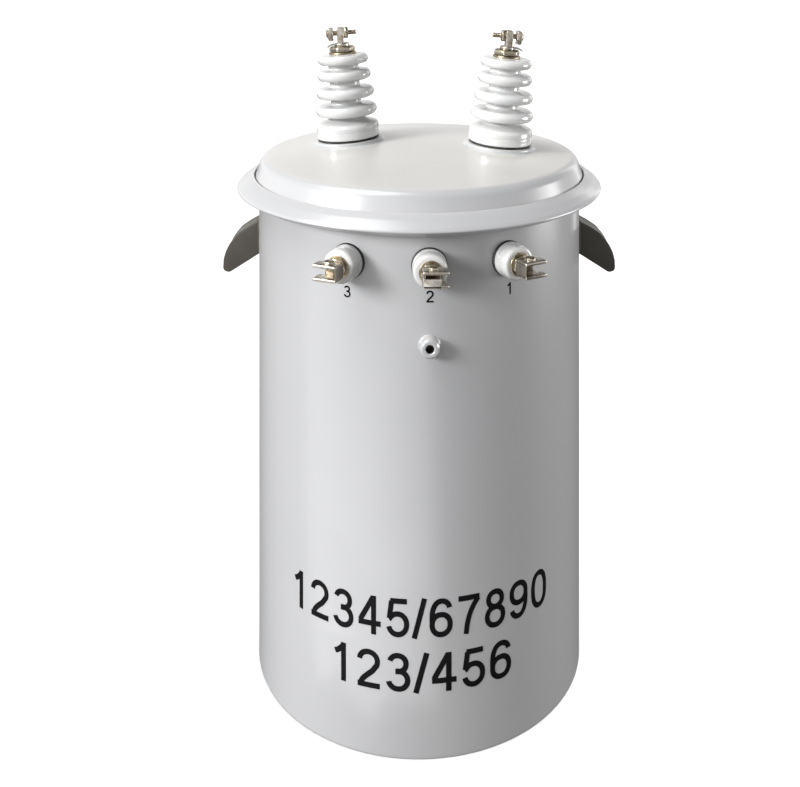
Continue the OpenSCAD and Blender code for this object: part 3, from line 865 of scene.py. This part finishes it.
LV_LINE = rounded([(17, 2.9), (21.5, 2.9, 1.0), (21.5, 9.6, 1.2), (20.2, 10.5, 0.8), (20.2, 11.4, 0.8), (21.4, 12.4, 1.2),
                   (21.3, 20, 3), (20.4, 27, 4.4), (8.2, 27, 0)], 7)
for i, name in ((-1, "left"), (0, "middle"), (1, "right")):
    s = -1 if i < 0 else 1
    m = lv_at(i)
    bm = bmesh.new()
    verts, faces = [], []
    seg = 120
    rows = [(17.0, None), (22.1, None), (22.1, 2.2), (21.6, 3.0), (17.0, 3.0)]
    for r, zz in rows:
        for k in range(seg):
            w = 2 * math.pi * k / seg
            verts.append((r * math.cos(w), r * math.sin(w), (wall_gap(w, r) - 0.4) if zz is None else zz))
    for a in range(len(rows) - 1):
        for k in range(seg):
            j = (k + 1) % seg
            faces.append((a * seg + k, a * seg + j, (a + 1) * seg + j, (a + 1) * seg + k))
    add(bm, verts, faces, m)
    piece(bm, "lv_seal_" + name, RUBBER, ("lv_gasket_" + name,))

    bm = bmesh.new()
    add_lathe(bm, LV_LINE, m, 112)
    piece(bm, "lv_porcelain_" + name, PORCELAIN, ("lv_bushing_" + name,))

    bm = bmesh.new()
    k = m @ move(0, 0, 27)
    add_lathe(bm, rounded([(6, 0), (14.3, 0, 0.5), (14.5, 1.0, 0.5), (14.2, 2, 0.5), (6, 2)], 3), k, 80)
    add_nut(bm, 22, 4.9, k @ move(0, 0, 2.05) @ turn(15 * i + 4, "Z"))
    add_lathe(bm, [(7.9, 6), (7.9, 7.5)], k, 48)
    piece(bm, "lv_hub_nut_" + name, BROWN, ("lv_stud_nut_" + name,))

    # the cast block: its back and web take a darker copy of the bronze, painted shade for the recess between the jaws;
    # the jaws keep the plain tinned bronze
    bm = bmesh.new()
    k = m @ move(0, 0, 34) @ (Matrix.Diagonal((-1, 1, 1, 1)) if s < 0 else Matrix())
    add_prism(bm, box_line(-11, 11, -10, 10, 2.4, 5), 0, 6.2, k, edge=1.2)
    add_prism(bm, rounded([(-11, -9, 0.8), (-8, -9, 0.4), (-8, 9, 0.4), (-11, 9, 0.8)], 3, True), 5, 21.4, k, edge=0.7)
    piece(bm, "lv_terminal_block_" + name, RECESS_SHADE_BRONZE)
    bm = bmesh.new()
    # upper jaw, its free end rolled to a full round
    top = rounded([(-11, 6, 0.6), (17.5, 6, 0.5), (20, 6, 2.2), (20, 10, 2.2), (-11, 10, 2.0)], 5, True)
    add_prism(bm, top, 5, 22, k, edge=1.2)
    low = rounded([(-11, -10, 2.0), (20, -10, 2.2), (20, -6, 2.2), (-11, -6, 0.6)], 5, True)
    add_prism(bm, low, 5, 22, k, edge=1.2)
    if i == 0:
        lip = rounded([(-11, -10, 1.6), (10.5, -10, 1.6), (10.5, 2, 2.0), (-11, 2, 2.0)], 5, True)
        add_prism(bm, lip, 19.5, 22, k, edge=0.9)
    piece(bm, "lv_terminal_" + name, BRONZE, ("lv_clamp_" + name,))

    bm = bmesh.new()
    k = m @ move(s * 2, 10, 34 + 12) @ turn(-90, "X")
    add_lathe(bm, rounded([(0, 0), (7.2, 0, 0.3), (7.2, 0.9, 0.3), (0, 0.9)], 3), k, 48)
    add_nut(bm, 12, 2.4, k @ move(0, 0, 0.8) @ turn(10 + 20 * i, "Z"), both=False, crown=0.7)
    add_lathe(bm, [(4, -3.8), (4, 0.2)], k, 32)
    add_lathe(bm, [(0, -3.8), (4, -3.8)], k, 32)
    piece(bm, "lv_screw_" + name, BROWN, ("lv_clamp_screw_" + name,))

# --------------------------------------------------------------- plain numerals


def arc(cx, cy, rx, ry, a0, a1, square=2.0, n=30):
    """Part of an oval; a square above 2 makes its shoulders fuller."""
    out = []
    for i in range(n + 1):
        w = math.radians(a0 + (a1 - a0) * i / n)
        c, d = math.cos(w), math.sin(w)
        out.append((cx + rx * math.copysign(abs(c) ** (2 / square), c), cy + ry * math.copysign(abs(d) ** (2 / square), d)))
    return out


# middle lines of plain block numerals, one unit high, with the width of each
STROKES = {
    "0": [arc(0, 0.5, 0.245, 0.43, 90, 450, 2.35, 60)],
    "1": [[(0.075, 1.0), (0.075, 0.0)], smooth_line([(0.075, 0.945), (0.01, 0.86), (-0.08, 0.785), (-0.175, 0.735)], 6)],
    "2": [arc(-0.005, 0.70, 0.24, 0.23, 176, -28, 2.1, 34) + smooth_line([(0.185, 0.565), (0.10, 0.45), (-0.06, 0.31), (-0.17, 0.19), (-0.225, 0.07)], 6),
          [(-0.30, 0.07), (0.30, 0.07)]],
    "3": [arc(-0.01, 0.725, 0.21, 0.205, 165, -90, 2.1, 34) + [(-0.075, 0.52)], arc(-0.005, 0.30, 0.245, 0.23, 97, -168, 2.1, 40)],
    "4": [[(0.10, 0.965), (-0.265, 0.335)], [(-0.315, 0.285), (0.315, 0.285)], [(0.115, 1.0), (0.115, 0.0)]],
    "5": [[(-0.20, 0.93), (0.255, 0.93)], [(-0.165, 0.93), (-0.225, 0.475)], [(-0.235, 0.46)] + arc(0.0, 0.335, 0.245, 0.265, 150, -166, 2.1, 44)],
    "6": [arc(0.02, 0.70, 0.215, 0.23, 12, 90, 2.1, 16) + arc(0.02, 0.52, 0.265, 0.41, 92, 180, 2.2, 24) + [(-0.245, 0.40)],
          arc(0.0, 0.325, 0.245, 0.255, 180, 540, 2.15, 56)],
    "7": [[(-0.30, 0.93), (0.30, 0.93)], smooth_line([(0.265, 0.90), (0.13, 0.72), (0.02, 0.50), (-0.05, 0.25), (-0.085, 0.0)], 8)],
    "8": [arc(0, 0.735, 0.205, 0.195, 90, 450, 2.1, 52), arc(0, 0.295, 0.245, 0.235, 90, 450, 2.1, 56)],
    "/": [[(-0.14, -0.015), (0.14, 1.015)]],
}
STROKES["9"] = [[(-x, 1 - y) for x, y in line] for line in STROKES["6"]]


def numerals(name, body, size, width, low, mid, weight=0.14):
    """Plain counting numbers, as a thin coat of ink laid round the wall."""
    advance = [0.40 if c == "/" else 0.777 for c in body]
    total = sum(advance) * size - 0.13 * size
    kx = width / total if width else 1.0
    bm = bmesh.new()
    x = -sum(advance) * size / 2
    for c, wide in zip(body, advance):
        mid_x = x + wide * size / 2
        x += wide * size
        for line in STROKES[c]:
            pts = []
            for a, b in zip(line[:-1], line[1:]):
                a, b = Vector(a) * size, Vector(b) * size
                n = max(1, math.ceil((b - a).length / 1.6))
                pts += [a.lerp(b, i / n) for i in range(n)]
            pts.append(Vector(line[-1]) * size)
            loop = (pts[0] - pts[-1]).length < 1e-4
            rows = []
            for i, q in enumerate(pts):
                back_q = pts[i - 1] if i else (pts[-2] if loop else q)
                next_q = pts[i + 1] if i + 1 < len(pts) else (pts[1] if loop else q)
                t = (next_q - back_q).normalized()
                side = Vector((-t.y, t.x)) * size * weight / 2
                row = []
                for e, depth in ((-1, -0.55), (-1, 0.0), (0, 0.0), (1, 0.0), (1, -0.55)):
                    u = q + e * side
                    w = math.radians(mid) + (mid_x + u.x) * kx / R
                    z = low + u.y
                    # the wall's own unevenness, at the same place
                    rr = R + 0.28 + depth + dent(w - math.pi / 2, z)
                    row.append(bm.verts.new((rr * math.sin(w), -rr * math.cos(w), z)))
                rows.append(row)
            for r0, r1 in zip(rows[:-1], rows[1:]):
                for j in range(4):
                    bm.faces.new((r0[j], r0[j + 1], r1[j + 1], r1[j]))
            if not loop:
                bm.faces.new(rows[0])
                bm.faces.new(rows[-1][::-1])
    return piece(bm, name, INK, sharp=30)


numerals("numbers_upper", "12345/67890", 47, 362, 147.5, -3.1)
numerals("numbers_lower", "123/456", 47, 235, 81.5, -2.5)
for i, body in ((-1, "3"), (0, "2"), (1, "1")):
    numerals("number_" + body, body, 14.5, None, 554, i * 26.5 + 0.2, 0.14)

# ------------------------------------------------------ CAD nodes that still show
for n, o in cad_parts.items():
    o.data.materials.clear()
    o.data.materials.append({"core_and_coils": CORE}.get(n, PAINT))

# ------------------------------------------------------------- floor and light
k = Nodes("pale_floor")
k.colour(k.ramp(k.noise(1.3, 4, 0.55), (0.3, (0.90, 0.90, 0.895)), (0.7, (0.93, 0.93, 0.925))))
k.rough(k.ramp(k.noise(9, 3, 0.6), (0.3, 0.55), (0.7, 0.7)))
k.set(Specular_IOR_Level=0.2)
bm = bmesh.new()
bmesh.ops.create_grid(bm, x_segments=8, y_segments=8, size=30)
me = bpy.data.meshes.new("floor")
bm.to_mesh(me)
bm.free()
me.materials.append(k.m)
floor = bpy.data.objects.new("floor", me)
bpy.context.scene.collection.objects.link(floor)

# the studio: pale round the horizon, dim above and below
world = bpy.data.worlds.new("studio")
bpy.context.scene.world = world
world.use_nodes = True
wt = world.node_tree
co = wt.nodes.new("ShaderNodeTexCoord")
sep = wt.nodes.new("ShaderNodeSeparateXYZ")
half_up = wt.nodes.new("ShaderNodeMath")
half_up.operation = "MULTIPLY_ADD"
half_up.inputs[1].default_value = 0.5
half_up.inputs[2].default_value = 0.5
grade = wt.nodes.new("ShaderNodeValToRGB")
wt.links.new(co.outputs["Generated"], sep.inputs[0])
wt.links.new(sep.outputs[2], half_up.inputs[0])
wt.links.new(half_up.outputs[0], grade.inputs[0])
wt.links.new(grade.outputs[0], wt.nodes["Background"].inputs[0])
stops = grade.color_ramp.elements
for at, c in ((0.0, (0.10, 0.095, 0.09)), (0.44, (0.10, 0.095, 0.09)), (0.475, (0.95, 0.95, 0.95)), (0.55, (0.95, 0.945, 0.935)),
              (0.63, (0.76, 0.755, 0.745)), (0.775, (0.22, 0.22, 0.225)), (1.0, (0.12, 0.12, 0.125))):
    e = stops[0] if at == 0.0 else stops[len(stops) - 1] if at == 1.0 else stops.new(at)
    e.position, e.color = at, (*c, 1)
wt.nodes["Background"].inputs[1].default_value = 1.0


def aim(o, at):
    o.rotation_euler = (o.location - Vector(at)).to_track_quat("Z", "Y").to_euler()


def group(name, members):
    """What one light falls on, when it isn't everything."""
    c = bpy.data.collections.new(name)
    for o in members:
        c.objects.link(o)
    return c


lit_object = group("lit_object", [o for o in bpy.context.scene.objects if o.type == "MESH" and o.name != "floor" and not o.hide_render])
lit_floor = group("lit_floor", [floor])


def sun(name, azim, elev, energy, spread, colour=(1, 1, 1), only=None):
    d = bpy.data.lights.new(name, "SUN")
    d.energy, d.angle, d.color = energy, math.radians(spread), colour
    o = bpy.data.objects.new(name, d)
    bpy.context.scene.collection.objects.link(o)
    a, e = math.radians(azim), math.radians(elev)
    o.location = 5 * Vector((math.sin(a) * math.cos(e), -math.cos(a) * math.cos(e), math.sin(e)))
    aim(o, (0, 0, 0))
    if only:
        o.light_linking.receiver_collection = only


def panel(name, azim, dist_m, z, w, h, power, at=(0, 0, 0.45), colour=(1, 1, 1), sheen=False):
    d = bpy.data.lights.new(name, "AREA")
    d.shape, d.size, d.size_y, d.energy, d.color = "RECTANGLE", w, h, power, colour
    o = bpy.data.objects.new(name, d)
    bpy.context.scene.collection.objects.link(o)
    a = math.radians(azim)
    o.location = (dist_m * math.sin(a), -dist_m * math.cos(a), z)
    aim(o, at)
    o.visible_camera = False
    o.visible_diffuse = not sheen


sun("key", -62, 21, 4.5, 20, only=lit_object)
sun("overhead", -75, 62, 2.4, 40, only=lit_object)
sun("floor_wash", 0, 86, 3.6, 80, only=lit_floor)
panel("front", -14, 2.6, 1.5, 1.4, 1.2, 4)
panel("side", 88, 2.6, 0.6, 1.2, 1.2, 46)
panel("strip", 135, 1.7, 0.75, 0.16, 1.5, 1.6)
# a pale ground on the left that shows in the gloss only, with a soft edge
for q in range(8):
    x, y = 0.04 * q - 1.36, -0.05 * (3 * q % 8) - 1.2
    panel("sheen_%d" % q, -math.degrees(math.atan2(-x, -y)), math.hypot(x, y), 0.012, 2.3, 2.0, 17, at=(x, y, 5), sheen=True)
floor.visible_diffuse = False
floor.visible_glossy = False
bpy.context.scene.view_settings.view_transform = "Standard"
